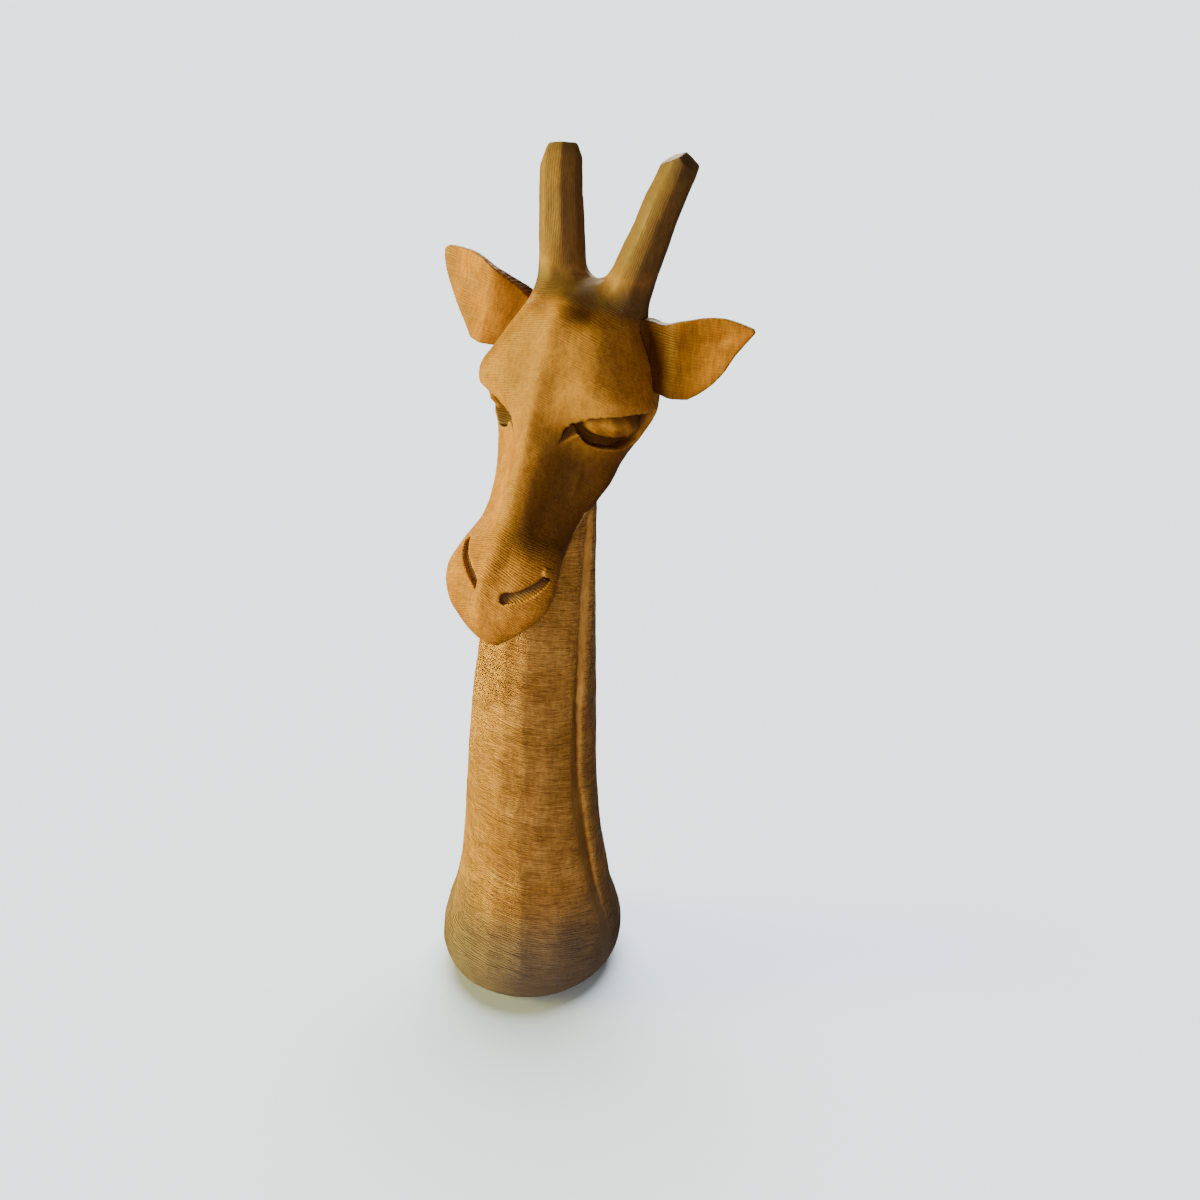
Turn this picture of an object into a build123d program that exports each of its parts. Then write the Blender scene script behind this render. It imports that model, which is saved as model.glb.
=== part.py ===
from build123d import *
import os
from math import cos, radians, sin, tan

# Carved wooden giraffe: a head and neck bust that stands on its flared foot.
# Millimetres. +Z is up, the giraffe looks towards -Y, and x = 0 is its plane of symmetry.
# The origin is the middle of the flat underside of the foot.

# ---- driving dimensions -------------------------------------------------------------------

overall_reach = 300.0        # longer than any half size, for cutting solids

# Neck: upright oval sections as (height, half width, middle in y).
neck_depth_ratio = 1.12      # half depth over half width
neck_section_step = 30       # degrees between the points of a section
neck_stations = [
    (0, 53, 3),
    (11, 62.5, 3),
    (34, 68, 2),
    (70, 59, 1),
    (120, 51, -3),
    (170, 47, -6),
    (230, 44.5, -8),
    (300, 40, -5),
    (360, 36.5, -3),
    (414, 34.5, -1),
]

# Face: sections square to a line that runs from the brow down to the nose.
face_origin_y = 6.0
face_origin_z = 548.0
face_tilt = 25.7             # degrees between the face line and the vertical
# (place along the face, top of the ridge, half width at the shoulder of the ridge, its level,
#  widest half width, its level, half width low down, its level, underside)
face_stations = [
    (-25, -33, 12, -33, 22, -43, 16, -54, -60),
    (-12, -13, 22, -17, 38, -31, 36, -56, -72),
    (8, 1, 26, -9, 47, -28, 43, -62, -82),
    (35, 0, 31, -7, 53, -20, 53, -70, -88),
    (62, -2, 34, -9, 58, -21, 53, -76, -92),
    (82, -5, 24, -19, 54, -44, 44, -76, -94),
    (105, -9, 20, -27, 48, -53, 34, -76, -98),
    (130, -10, 17, -22, 38, -43, 28, -62, -80),
    (152, -8, 17, -14, 33, -32, 22, -49, -57),
    (172, -1, 20, -5, 37, -25, 25, -46, -53),
    (194, 3, 23, -2, 40, -22, 27, -42, -48),
    (212, 0, 19, -4, 35, -22, 22, -38, -44),
    (226, -9, 13, -12, 24, -25, 15, -36, -41),
    (235, -25, 6, -26, 10, -30, 7, -34, -36),
]

# Head and neck joint: a level shelf, and in front of it a face parallel to the line of the face.
seat_level = 412.0
seat_front = -10.0           # front edge of the shelf

# Horns: eight-sided, leaning out and back, as (x, y, z, radius).
horn_sides = 8
horn_lean = (0.2, 0.25, 1)   # direction that the horns' sections face
horn_stations = [
    (24, 44, 524, 25),
    (28, 50, 553, 17.5),
    (35.5, 60, 590, 14.5),
    (42.5, 69, 622, 13.5),
    (46, 75, 634, 12.5),
    (49, 79, 645, 4),
]

# Ears: leaf shapes on a plane that faces forward and a little out and up.
ear_origin = (68, 24, 505)
ear_normal = (0.32, -1.0, 0.2)
ear_along = (1, 0.32, 0)
ear_thickness = 7.0
ear_root_end = -32.0         # how far the root goes into the head, along the ear
ear_root_height = 15.0       # middle of the root, up the ear
ear_root_depth = 23.0        # middle of the root's inner end, behind the ear's front
# The root comes forward as it thins out: place along it, how far forward, half height, half depth.
ear_root_stations = [
    (0, 0, 20, 10),
    (24, 6, 17, 9),
    (60, 17, 9, 3.5),
]
# The leaf's outline along the ear and up it.
ear_top = [(ear_root_end, 34), (0, 39), (30, 48.5), (48, 49.5), (64, 45.5)]
ear_outer = [(64, 45.5), (60, 35), (50, 18), (37, 2), (22, -9)]
ear_bottom = [(22, -9), (10, -9.5), (ear_root_end, -6)]

# Dowels that hold the head, and pins that hold the ears.
neck_dowel_radius = 6.0
neck_dowel_length = 76.0
neck_dowel_rear = (0, 25, 374)
neck_dowel_front = (0, 3, 374)
neck_dowel_chamfer = 1.0
ear_pin_radius = 3.0
ear_pin_length = 40.0
ear_pin_start = -52.0        # inner end of the pin, along the ear
ear_pin_chamfer = 0.6
glue_room = 1.0              # space left past the end of each dowel and pin

# Carved details.
# Side groove of the neck as (height, degrees round from straight out to the side).
groove_stations = [
    (92, 3),
    (150, -5),
    (215, -9.5),
    (270, -5),
    (330, 3),
    (400, 14),
]
groove_width = 8.0
groove_depth = 4.0
eye_middle = (41, 11, 470)
eye_along = (0.4, 0.9, 0.12)
eye_outward = (0.9, -0.4, 0.0)
eye_depth = 7.0
# The eye's edges in its own plane: along it towards the ear, and up.
eye_lower_edge = [(-40, -9), (-24, -4), (-8, -12), (6, -17), (24, -13), (39, 4)]
eye_upper_edge = [(39, 4), (24, -5), (8, -9), (-8, -3), (-22, 3), (-40, -9)]
nostril_radius = 3.0
nostril_points = [(12, -77, 361), (28, -68, 369), (41, -53, 385)]


# ---- frames and shared shapes -----------------------------------------------------------

def face_plane(along):
    """Plane square to the face line, with its y axis pointing out of the face."""
    lean = radians(face_tilt)
    centre_y = face_origin_y - along * sin(lean)
    centre_z = face_origin_z - along * cos(lean)
    return Plane((0, centre_y, centre_z), x_dir=(1, 0, 0), z_dir=(0, -sin(lean), -cos(lean)))


def neck_section(height):
    """Half width and middle of the neck at a height, between its stations."""
    for lower, upper in zip(neck_stations, neck_stations[1:]):
        if lower[0] <= height <= upper[0]:
            share = (height - lower[0]) / (upper[0] - lower[0])
            half_width = lower[1] + share * (upper[1] - lower[1])
            middle = lower[2] + share * (upper[2] - lower[2])
            return half_width, middle
    raise ValueError("height is off the neck")


def neck_surface_plane(height, angle):
    """Level plane at a point of the neck's side, with its x axis pointing outwards."""
    half_width, middle = neck_section(height)
    turn = radians(angle)
    point = (
        half_width * cos(turn),
        middle + neck_depth_ratio * half_width * sin(turn),
        height,
    )
    outward = (neck_depth_ratio * cos(turn), sin(turn), 0)
    return Plane(point, x_dir=outward, z_dir=(0, 0, 1))


ear_plane = Plane(ear_origin, x_dir=ear_along, z_dir=ear_normal)
ear_root_plane = Plane(
    ear_plane.from_local_coords((ear_root_end, ear_root_height, -ear_root_depth)),
    x_dir=ear_plane.y_dir,
    z_dir=ear_plane.x_dir,
)
ear_pin_plane = Plane(
    ear_plane.from_local_coords((ear_pin_start, ear_root_height, -ear_root_depth)),
    x_dir=ear_plane.y_dir,
    z_dir=ear_plane.x_dir,
)

# Everything below and behind the joint: the neck keeps it, the head gives it up.
with BuildPart() as below_seat:
    with BuildSketch(Plane.YZ.offset(-overall_reach)):
        with BuildLine():
            Polyline(
                (overall_reach, seat_level),
                (seat_front, seat_level),
                (seat_front - seat_level * tan(radians(face_tilt)), 0),
                (-overall_reach, -overall_reach),
                (overall_reach, -overall_reach),
                close=True,
            )
        make_face()
    extrude(amount=2 * overall_reach)

# ---- dowels and pins ----------------------------------------------------------------------

with BuildPart() as neck_dowel_rear_peg:
    with BuildSketch(Plane(neck_dowel_rear)):
        Circle(neck_dowel_radius)
    extrude(amount=neck_dowel_length)
    chamfer(neck_dowel_rear_peg.edges().filter_by(GeomType.CIRCLE), length=neck_dowel_chamfer)

with BuildPart() as neck_dowel_front_peg:
    with BuildSketch(Plane(neck_dowel_front)):
        Circle(neck_dowel_radius)
    extrude(amount=neck_dowel_length)
    chamfer(neck_dowel_front_peg.edges().filter_by(GeomType.CIRCLE), length=neck_dowel_chamfer)

with BuildPart() as left_ear_pin:
    with BuildSketch(ear_pin_plane):
        Circle(ear_pin_radius)
    extrude(amount=ear_pin_length)
    chamfer(left_ear_pin.edges().filter_by(GeomType.CIRCLE), length=ear_pin_chamfer)

with BuildPart() as right_ear_pin:
    mirror(left_ear_pin.part, about=Plane.YZ)

# Bores: as wide as the peg and a little longer at both ends.
with BuildPart() as neck_bores:
    for start in (neck_dowel_rear, neck_dowel_front):
        with BuildSketch(Plane(start).offset(-glue_room)):
            Circle(neck_dowel_radius)
        extrude(amount=neck_dowel_length + 2 * glue_room)

with BuildPart() as ear_bore:
    with BuildSketch(ear_pin_plane.offset(-glue_room)):
        Circle(ear_pin_radius)
    extrude(amount=ear_pin_length + 2 * glue_room)

# ---- ears -----------------------------------------------------------------------------------

with BuildPart() as left_ear:
    with BuildSketch(ear_plane):
        with BuildLine():
            Spline(*ear_top)
            Spline(*ear_outer)
            Spline(*ear_bottom)
            Line(ear_bottom[-1], ear_top[0])
        make_face()
    extrude(amount=-ear_thickness)
    for along, forward, half_height, half_depth in ear_root_stations:
        with BuildSketch(ear_root_plane.offset(along)):
            with Locations((0, forward)):
                Ellipse(half_height, half_depth)
    loft()
    split(bisect_by=ear_plane, keep=Keep.BOTTOM)
    add(ear_bore.part, mode=Mode.SUBTRACT)

with BuildPart() as right_ear:
    mirror(left_ear.part, about=Plane.YZ)

# ---- neck and head ------------------------------------------------------------------------

with BuildPart() as side_groove:
    for height, angle in groove_stations:
        with BuildSketch(neck_surface_plane(height, angle)):
            Rectangle(2 * groove_depth, groove_width)
    loft(ruled=True)

with BuildPart() as horn:
    for x, y, z, radius in horn_stations:
        with BuildSketch(Plane((x, y, z), x_dir=(1, 0, 0), z_dir=horn_lean)):
            RegularPolygon(radius, horn_sides)
    loft(ruled=True)

with BuildPart() as eye_cut:
    with BuildSketch(Plane(eye_middle, x_dir=eye_along, z_dir=eye_outward).offset(-eye_depth)):
        with BuildLine():
            Spline(*eye_lower_edge)
            Spline(*eye_upper_edge)
        make_face()
    extrude(amount=4 * eye_depth)

with BuildPart() as nostril_cut:
    with BuildLine() as nostril_line:
        ThreePointArc(*nostril_points)
    with BuildSketch(Plane(nostril_line.line @ 0, z_dir=nostril_line.line % 0)):
        Circle(nostril_radius)
    sweep()

# The neck's stem and the face, joined into the one carved shape that the joint divides.
with BuildPart() as carved_shape:
    for height, half_width, middle in neck_stations:
        with BuildSketch(Plane((0, middle, height))):
            with BuildLine():
                Spline(
                    [
                        (half_width * cos(radians(turn)),
                         neck_depth_ratio * half_width * sin(radians(turn)))
                        for turn in range(0, 360, neck_section_step)
                    ],
                    periodic=True,
                )
            make_face()
    loft(ruled=True)
    for along, top, shoulder_x, shoulder, wide_x, wide, low_x, low, under in face_stations:
        with BuildSketch(face_plane(along)):
            with BuildLine():
                Spline(
                    (0, top),
                    (shoulder_x, shoulder),
                    (wide_x, wide),
                    (low_x, low),
                    (0, under),
                    (-low_x, low),
                    (-wide_x, wide),
                    (-shoulder_x, shoulder),
                    periodic=True,
                )
            make_face()
    loft()

with BuildPart() as neck_trunk:
    add(carved_shape.part)
    add(below_seat.part, mode=Mode.INTERSECT)
    add(side_groove.part, mode=Mode.SUBTRACT)
    mirror(side_groove.part, about=Plane.YZ, mode=Mode.SUBTRACT)
    add(neck_bores.part, mode=Mode.SUBTRACT)

with BuildPart() as head_block:
    add(carved_shape.part)
    add(horn.part)
    mirror(horn.part, about=Plane.YZ)
    add(below_seat.part, mode=Mode.SUBTRACT)
    add(eye_cut.part, mode=Mode.SUBTRACT)
    mirror(eye_cut.part, about=Plane.YZ, mode=Mode.SUBTRACT)
    add(nostril_cut.part, mode=Mode.SUBTRACT)
    mirror(nostril_cut.part, about=Plane.YZ, mode=Mode.SUBTRACT)
    add(left_ear.part, mode=Mode.SUBTRACT)
    add(right_ear.part, mode=Mode.SUBTRACT)
    add(neck_bores.part, mode=Mode.SUBTRACT)
    add(ear_bore.part, mode=Mode.SUBTRACT)
    mirror(ear_bore.part, about=Plane.YZ, mode=Mode.SUBTRACT)

# ---- finished pieces ------------------------------------------------------------------------

neck_trunk.part.label = "neck_trunk"
head_block.part.label = "head_block"
left_ear.part.label = "left_ear"
right_ear.part.label = "right_ear"
neck_dowel_rear_peg.part.label = "neck_dowel_rear"
neck_dowel_front_peg.part.label = "neck_dowel_front"
left_ear_pin.part.label = "left_ear_pin"
right_ear_pin.part.label = "right_ear_pin"

os.makedirs("parts", exist_ok=True)
export_step(neck_trunk.part, "parts/neck_trunk.step")
export_step(head_block.part, "parts/head_block.step")
export_step(left_ear.part, "parts/left_ear.step")
export_step(right_ear.part, "parts/right_ear.step")
export_step(neck_dowel_rear_peg.part, "parts/neck_dowel_rear.step")
export_step(neck_dowel_front_peg.part, "parts/neck_dowel_front.step")
export_step(left_ear_pin.part, "parts/left_ear_pin.step")
export_step(right_ear_pin.part, "parts/right_ear_pin.step")
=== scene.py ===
import math

import bpy
import numpy as np
from mathutils import Matrix, Vector


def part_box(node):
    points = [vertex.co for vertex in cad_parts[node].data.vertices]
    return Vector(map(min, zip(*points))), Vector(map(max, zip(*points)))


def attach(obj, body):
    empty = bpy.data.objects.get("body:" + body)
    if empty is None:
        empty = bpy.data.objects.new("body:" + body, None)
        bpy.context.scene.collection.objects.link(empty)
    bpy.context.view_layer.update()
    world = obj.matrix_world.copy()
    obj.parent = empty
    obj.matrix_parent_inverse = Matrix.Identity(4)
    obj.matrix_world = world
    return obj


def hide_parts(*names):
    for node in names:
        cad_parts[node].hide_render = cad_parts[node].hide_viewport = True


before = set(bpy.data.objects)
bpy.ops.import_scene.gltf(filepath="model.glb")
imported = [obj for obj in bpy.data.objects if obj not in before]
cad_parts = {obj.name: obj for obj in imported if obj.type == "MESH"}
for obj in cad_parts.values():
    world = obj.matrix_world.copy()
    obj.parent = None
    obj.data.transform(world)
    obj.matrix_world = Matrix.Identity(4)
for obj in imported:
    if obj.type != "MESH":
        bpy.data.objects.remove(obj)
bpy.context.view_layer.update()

MM = 0.001

# All carving below is worked out in millimetres in the row's frame: +Z up, the giraffe looks
# towards -Y, x = 0 is its plane of symmetry. Meshes are turned into metres when they are made.

# ---- small numerical tools -----------------------------------------------------------------


def curve_through(knots, values, at):
    """Smooth curve (cubic, with three-point tangents) through values at knots, read at `at`."""
    knots = np.asarray(knots, float)
    values = np.asarray(values, float)
    gaps = np.diff(knots)
    slopes = np.diff(values, axis=0) / gaps.reshape(-1, *[1] * (values.ndim - 1))
    tangents = np.empty_like(values)
    tangents[0] = slopes[0]
    tangents[-1] = slopes[-1]
    before = gaps[:-1].reshape(-1, *[1] * (values.ndim - 1))
    after = gaps[1:].reshape(-1, *[1] * (values.ndim - 1))
    tangents[1:-1] = (slopes[:-1] * after + slopes[1:] * before) / (before + after)
    at = np.clip(np.asarray(at, float), knots[0], knots[-1])
    span = np.clip(np.searchsorted(knots, at) - 1, 0, len(gaps) - 1)
    share = (at - knots[span]) / gaps[span]
    shape = share.shape + (1,) * (values.ndim - 1)
    t = share.reshape(shape)
    width = gaps[span].reshape(shape)
    return (
        (2 * t**3 - 3 * t**2 + 1) * values[span]
        + (t**3 - 2 * t**2 + t) * width * tangents[span]
        + (3 * t**2 - 2 * t**3) * values[span + 1]
        + (t**3 - t**2) * width * tangents[span + 1]
    )


def soft_min(a, b, reach):
    """Smallest of two fields, rounded where they are within `reach` of each other."""
    h = np.clip(0.5 + 0.5 * (b - a) / reach, 0, 1)
    return b + (a - b) * h - reach * h * (1 - h)


def soft_max(a, b, reach):
    return -soft_min(-a, -b, reach)


def smooth_step(low, high, value):
    t = np.clip((value - low) / (high - low), 0, 1)
    return t * t * (3 - 2 * t)


def lattice_noise(points, size, seed):
    """Smooth noise from -1 to 1 at points (n, 3), with a grain of `size`."""
    rng = np.random.default_rng(seed)
    table = rng.uniform(-1, 1, (32, 32, 32)).astype(np.float32)
    p = np.asarray(points, float) / size
    base = np.floor(p).astype(int)
    t = p - base
    t = t * t * (3 - 2 * t)
    total = 0
    for i in (0, 1):
        for j in (0, 1):
            for k in (0, 1):
                weight = (
                    (t[:, 0] if i else 1 - t[:, 0])
                    * (t[:, 1] if j else 1 - t[:, 1])
                    * (t[:, 2] if k else 1 - t[:, 2])
                )
                corner = (base + (i, j, k)) % 32
                total = total + weight * table[corner[:, 0], corner[:, 1], corner[:, 2]]
    return total


def outline_distance(points, outline):
    """Signed distance (inside is negative) from 2-D points (n, 2) to a closed outline (m, 2)."""
    nearest = np.full(len(points), np.inf)
    inside = np.zeros(len(points), bool)
    for a, b in zip(outline, np.roll(outline, -1, axis=0)):
        edge = b - a
        rel = points - a
        share = np.clip(rel @ edge / max(edge @ edge, 1e-12), 0, 1)
        gap = rel - share[:, None] * edge
        nearest = np.minimum(nearest, (gap**2).sum(1))
        crosses = (a[1] > points[:, 1]) != (b[1] > points[:, 1])
        where = a[0] + (points[:, 1] - a[1]) * edge[0] / (edge[1] if edge[1] else 1e-12)
        inside ^= crosses & (points[:, 0] < where)
    return np.where(inside, -1, 1) * np.sqrt(nearest)


def smooth_outline(corners, steps=8):
    """Closed outline through groups of points: smooth within a group, cornered between groups."""
    runs = []
    for group in corners:
        group = np.asarray(group, float)
        length = np.concatenate([[0], np.cumsum(np.hypot(*np.diff(group, axis=0).T))])
        at = np.linspace(0, length[-1], steps * (len(group) - 1) + 1)[:-1]
        runs.append(curve_through(length, group, at) if len(group) > 2 else group[:1])
    return np.concatenate(runs)


# ---- surface from a field ------------------------------------------------------------------


def field_surface(field, low, high, step, block=48):
    """Closed surface where field(x, y, z) crosses zero, by naive surface nets.
    Returns the points (n, 3) and the faces (m, 4). The field is read in blocks along z."""
    axes = [np.arange(a, b + step, step) for a, b in zip(low, high)]
    x, y, z = axes
    values = np.empty((len(x), len(y), len(z)), np.float32)
    for start in range(0, len(z), block):
        part = z[start:start + block]
        grid = np.meshgrid(x, y, part, indexing="ij")
        values[:, :, start:start + block] = field(*grid)
    inside = values < 0
    cells = np.array(values.shape) - 1
    weight = np.zeros(tuple(cells), np.float32)
    total = np.zeros(tuple(cells) + (3,), np.float32)
    corner_span = [slice(0, -1), slice(1, None)]
    for axis in range(3):
        first = [slice(None)] * 3
        second = [slice(None)] * 3
        first[axis] = slice(0, -1)
        second[axis] = slice(1, None)
        va = values[tuple(first)]
        vb = values[tuple(second)]
        cross = (va < 0) != (vb < 0)
        share = np.where(cross, va / np.where(cross, va - vb, 1), 0).astype(np.float32)
        others = [a for a in range(3) if a != axis]
        for i in (0, 1):
            for j in (0, 1):
                pick = [slice(None)] * 3
                pick[others[0]] = corner_span[i]
                pick[others[1]] = corner_span[j]
                c = cross[tuple(pick)]
                weight += c
                total[..., axis] += np.where(c, share[tuple(pick)], 0)
                total[..., others[0]] += np.where(c, i, 0)
                total[..., others[1]] += np.where(c, j, 0)
    used = weight > 0
    index = np.full(tuple(cells), -1, np.int64)
    index[used] = np.arange(used.sum())
    where = np.argwhere(used)
    points = (where + total[used] / weight[used][:, None]) * step + np.asarray(low, float)
    faces = []
    for axis in range(3):
        first = [slice(None)] * 3
        second = [slice(None)] * 3
        first[axis] = slice(0, -1)
        second[axis] = slice(1, None)
        a_in = inside[tuple(first)]
        b_in = inside[tuple(second)]
        edge = np.argwhere(a_in != b_in)
        others = [a for a in range(3) if a != axis]
        for other in others:
            edge = edge[(edge[:, other] > 0) & (edge[:, other] < cells[other])]
        outward = a_in[tuple(edge.T)]
        quad = []
        for i, j in ((-1, -1), (0, -1), (0, 0), (-1, 0)):
            cell = edge.copy()
            cell[:, others[0]] += i
            cell[:, others[1]] += j
            quad.append(index[tuple(cell.T)])
        quad = np.stack(quad, 1)
        flip = outward if axis != 1 else ~outward
        quad[~flip] = quad[~flip][:, ::-1]
        faces.append(quad)
    return points, np.concatenate(faces)


def vertex_normals(points, faces):
    a = points[faces[:, 2]] - points[faces[:, 0]]
    b = points[faces[:, 3]] - points[faces[:, 1]]
    face_normal = np.cross(a, b)
    normals = np.zeros_like(points)
    for corner in range(4):
        for axis in range(3):
            normals[:, axis] += np.bincount(
                faces[:, corner], face_normal[:, axis], minlength=len(points))
    return normals / np.maximum(np.linalg.norm(normals, axis=1, keepdims=True), 1e-9)


def hollowness(points, faces, normals, rounds):
    """Above zero in hollows and below zero on edges: how far a point's neighbours stand proud."""
    around = points
    for _ in range(rounds):
        total = np.zeros_like(points)
        count = np.zeros(len(points))
        for corner in range(4):
            here = faces[:, corner]
            there = faces[:, (corner + 1) % 4]
            for axis in range(3):
                total[:, axis] += np.bincount(here, around[there, axis], minlength=len(points))
                total[:, axis] += np.bincount(there, around[here, axis], minlength=len(points))
            count += np.bincount(here, minlength=len(points))
            count += np.bincount(there, minlength=len(points))
        around = total / np.maximum(count, 1)[:, None]
    return ((around - points) * normals).sum(1)


BROAD_UNEVENNESS = 0.35      # how far the blade strays over the width of a stroke
FINE_UNEVENNESS = 0.16
HOLLOW_ROUNDS = 4            # how many neighbours away the hollows are looked for


def add_attribute(mesh, name, kind, values):
    layer = mesh.attributes.new(name, kind, "POINT")
    field = "vector" if kind == "FLOAT_VECTOR" else "value"
    layer.data.foreach_set(field, values.astype(np.float32).ravel())


def wooden_piece(name, points, faces, stroke, tone, marks, material, node):
    """A mesh object from carved points, with its stroke coordinates, tone, strength of the tool
    marks and hollows as attributes. The blade's slight unevenness is added to the surface here."""
    normals = vertex_normals(points, faces)
    points = points + normals * (
        BROAD_UNEVENNESS * lattice_noise(points, 15, 2)
        + FINE_UNEVENNESS * lattice_noise(points, 5, 3)
    )[:, None]
    mesh = bpy.data.meshes.new(name)
    mesh.vertices.add(len(points))
    mesh.vertices.foreach_set("co", (points * MM).astype(np.float32).ravel())
    mesh.loops.add(4 * len(faces))
    mesh.loops.foreach_set("vertex_index", faces.astype(np.int32).ravel())
    mesh.polygons.add(len(faces))
    mesh.polygons.foreach_set("loop_start", np.arange(0, 4 * len(faces), 4, dtype=np.int32))
    mesh.polygons.foreach_set("loop_total", np.full(len(faces), 4, dtype=np.int32))
    mesh.polygons.foreach_set("use_smooth", np.ones(len(faces), dtype=bool))
    mesh.update(calc_edges=True)
    mesh.validate()
    add_attribute(mesh, "stroke", "FLOAT_VECTOR", stroke * MM)
    add_attribute(mesh, "tone", "FLOAT_VECTOR", tone)
    add_attribute(mesh, "marks", "FLOAT", marks)
    add_attribute(mesh, "hollow", "FLOAT", hollowness(points, faces, normals, HOLLOW_ROUNDS))
    piece = bpy.data.objects.new(name, mesh)
    bpy.context.scene.collection.objects.link(piece)
    mesh.materials.append(material)
    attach(piece, "root")
    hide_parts(node)
    return piece


# ---- the face's own frame ------------------------------------------------------------------

FACE_TILT = math.radians(25.7)
FACE_Y = 6.0
FACE_Z = 548.0


def to_face(y, z):
    """Distance down the line of the face, and distance out of it."""
    along = -(y - FACE_Y) * math.sin(FACE_TILT) - (z - FACE_Z) * math.cos(FACE_TILT)
    out = -(y - FACE_Y) * math.cos(FACE_TILT) + (z - FACE_Z) * math.sin(FACE_TILT)
    return along, out


# Sections of the face: place along it, then half an outline from the ridge round to the underside.
FACE_SECTIONS = [
    (-27, (0, -36), (6, -36), (14, -38), (18, -45), (14, -52), (7, -56), (0, -57)),
    (-14, (0, -15), (12, -17), (26, -24), (35, -36), (33, -53), (18, -68), (0, -72)),
    (0, (0, -1), (14, -5), (30, -14), (41, -31), (40, -55), (24, -73), (0, -79)),
    (15, (0, 1), (14, -3), (35, -11), (47, -26), (52, -57), (31, -76), (0, -84)),
    (35, (0, -1), (13, -4), (39, -9), (53, -21), (61, -59), (35, -82), (0, -88)),
    (54, (0, -2), (12, -5), (37, -7), (56.5, -16), (60, -63), (36, -85), (0, -91)),
    (66, (0, -3), (11, -6), (32, -11.5), (58, -24.5), (52, -70), (34, -87), (0, -93)),
    (82, (0, -5), (9, -9), (25, -21), (51.5, -44), (43.5, -72), (30, -87), (0, -95)),
    (105, (0, -9), (8, -12), (20, -28), (46.5, -53), (35.5, -72), (24, -87), (0, -96)),
    (127, (0, -10), (8, -12.5), (18, -25), (39, -46), (33.5, -61), (20, -74), (0, -80)),
    (150, (0, -8), (8, -10), (18, -17), (33.5, -31), (30.5, -47), (17, -57), (0, -59)),
    (172, (0, 0), (9, -3.5), (23, -8), (38.5, -21), (33, -37), (18, -47), (0, -50)),
    (190, (0, 4), (10, 0.5), (27, -5), (42.5, -17), (36, -33), (20, -42), (0, -45)),
    (205, (0, 3), (10, -0.5), (26, -6), (39.5, -16.5), (32, -29), (18, -38), (0, -41)),
    (218, (0, -2.5), (9, -5), (20, -9.5), (29, -17), (21, -27), (13, -34), (0, -38)),
    (229, (0, -13), (7, -14), (12, -17), (15, -24), (11, -30), (7, -34), (0, -36)),
    (235, (0, -24), (3, -24.5), (5, -26), (6, -29), (5, -32), (3, -33.5), (0, -34)),
]
FACE_STEP = 0.5
ANGLE_COUNT = 361
OUTLINE_POINTS = 160


def face_table():
    """Reach of the face from its middle line, by place along the face and angle from its ridge."""
    places = np.array([row[0] for row in FACE_SECTIONS], float)
    outlines = np.array([row[1:] for row in FACE_SECTIONS], float)
    along = np.arange(places[0], places[-1] + FACE_STEP / 2, FACE_STEP)
    halves = curve_through(places, outlines, along)
    middle = 0.5 * (halves[:, 0, 1] + halves[:, -1, 1])
    angles = np.linspace(0, math.pi, ANGLE_COUNT)
    reach = np.empty((len(along), ANGLE_COUNT))
    for row, half in enumerate(halves):
        # One mirrored point past each end keeps the outline square to the plane of symmetry.
        whole = np.concatenate([half[1:2] * (-1, 1), half, half[-2:-1] * (-1, 1)])
        length = np.concatenate([[0], np.cumsum(np.hypot(*np.diff(whole, axis=0).T))])
        at = np.linspace(length[1], length[-2], OUTLINE_POINTS)
        line = curve_through(length, whole, at)
        turn = np.arctan2(line[:, 0], line[:, 1] - middle[row])
        turn[0] = 0
        turn[-1] = math.pi
        reach[row] = np.interp(angles, turn, np.hypot(line[:, 0], line[:, 1] - middle[row]))
    return along, middle, reach


FACE_ALONG, FACE_MIDDLE, FACE_REACH = face_table()

SNOUT_LEAN = 4.0             # the muzzle is carved this far towards the giraffe's left
SNOUT_LEAN_STARTS = 105
SNOUT_LEAN_ENDS = 178
# The hollow each side of the forehead's peak: across, down the face, and how deep.
DENT_PLACE = (17, -1)
DENT_SPREAD = (9, 8)
DENT_DEPTH = 3.5


def face_field(x, y, z):
    along, out = to_face(y, z)
    x = x - SNOUT_LEAN * smooth_step(SNOUT_LEAN_STARTS, SNOUT_LEAN_ENDS, along)
    row = (np.clip(along, FACE_ALONG[0], FACE_ALONG[-1]) - FACE_ALONG[0]) / FACE_STEP
    low = np.minimum(row.astype(int), len(FACE_ALONG) - 2)
    share = row - low
    middle = FACE_MIDDLE[low] * (1 - share) + FACE_MIDDLE[low + 1] * share
    rel = out - middle
    turn = np.arctan2(np.abs(x), rel) / math.pi * (ANGLE_COUNT - 1)
    side = np.minimum(turn.astype(int), ANGLE_COUNT - 2)
    part = turn - side
    near = FACE_REACH[low, side] * (1 - part) + FACE_REACH[low, side + 1] * part
    far = FACE_REACH[low + 1, side] * (1 - part) + FACE_REACH[low + 1, side + 1] * part
    reach = near * (1 - share) + far * share
    slope = (far - near) / FACE_STEP
    gap = (np.hypot(x, rel) - reach) / np.sqrt(1 + slope**2)
    across = (np.abs(x) - DENT_PLACE[0]) / DENT_SPREAD[0]
    down = (along - DENT_PLACE[1]) / DENT_SPREAD[1]
    gap = gap + DENT_DEPTH * np.exp(-across**2 - down**2) * (out > -40)
    beyond = np.maximum(FACE_ALONG[0] - along, along - FACE_ALONG[-1])
    return np.maximum(gap, beyond)


# ---- neck ----------------------------------------------------------------------------------

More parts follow.
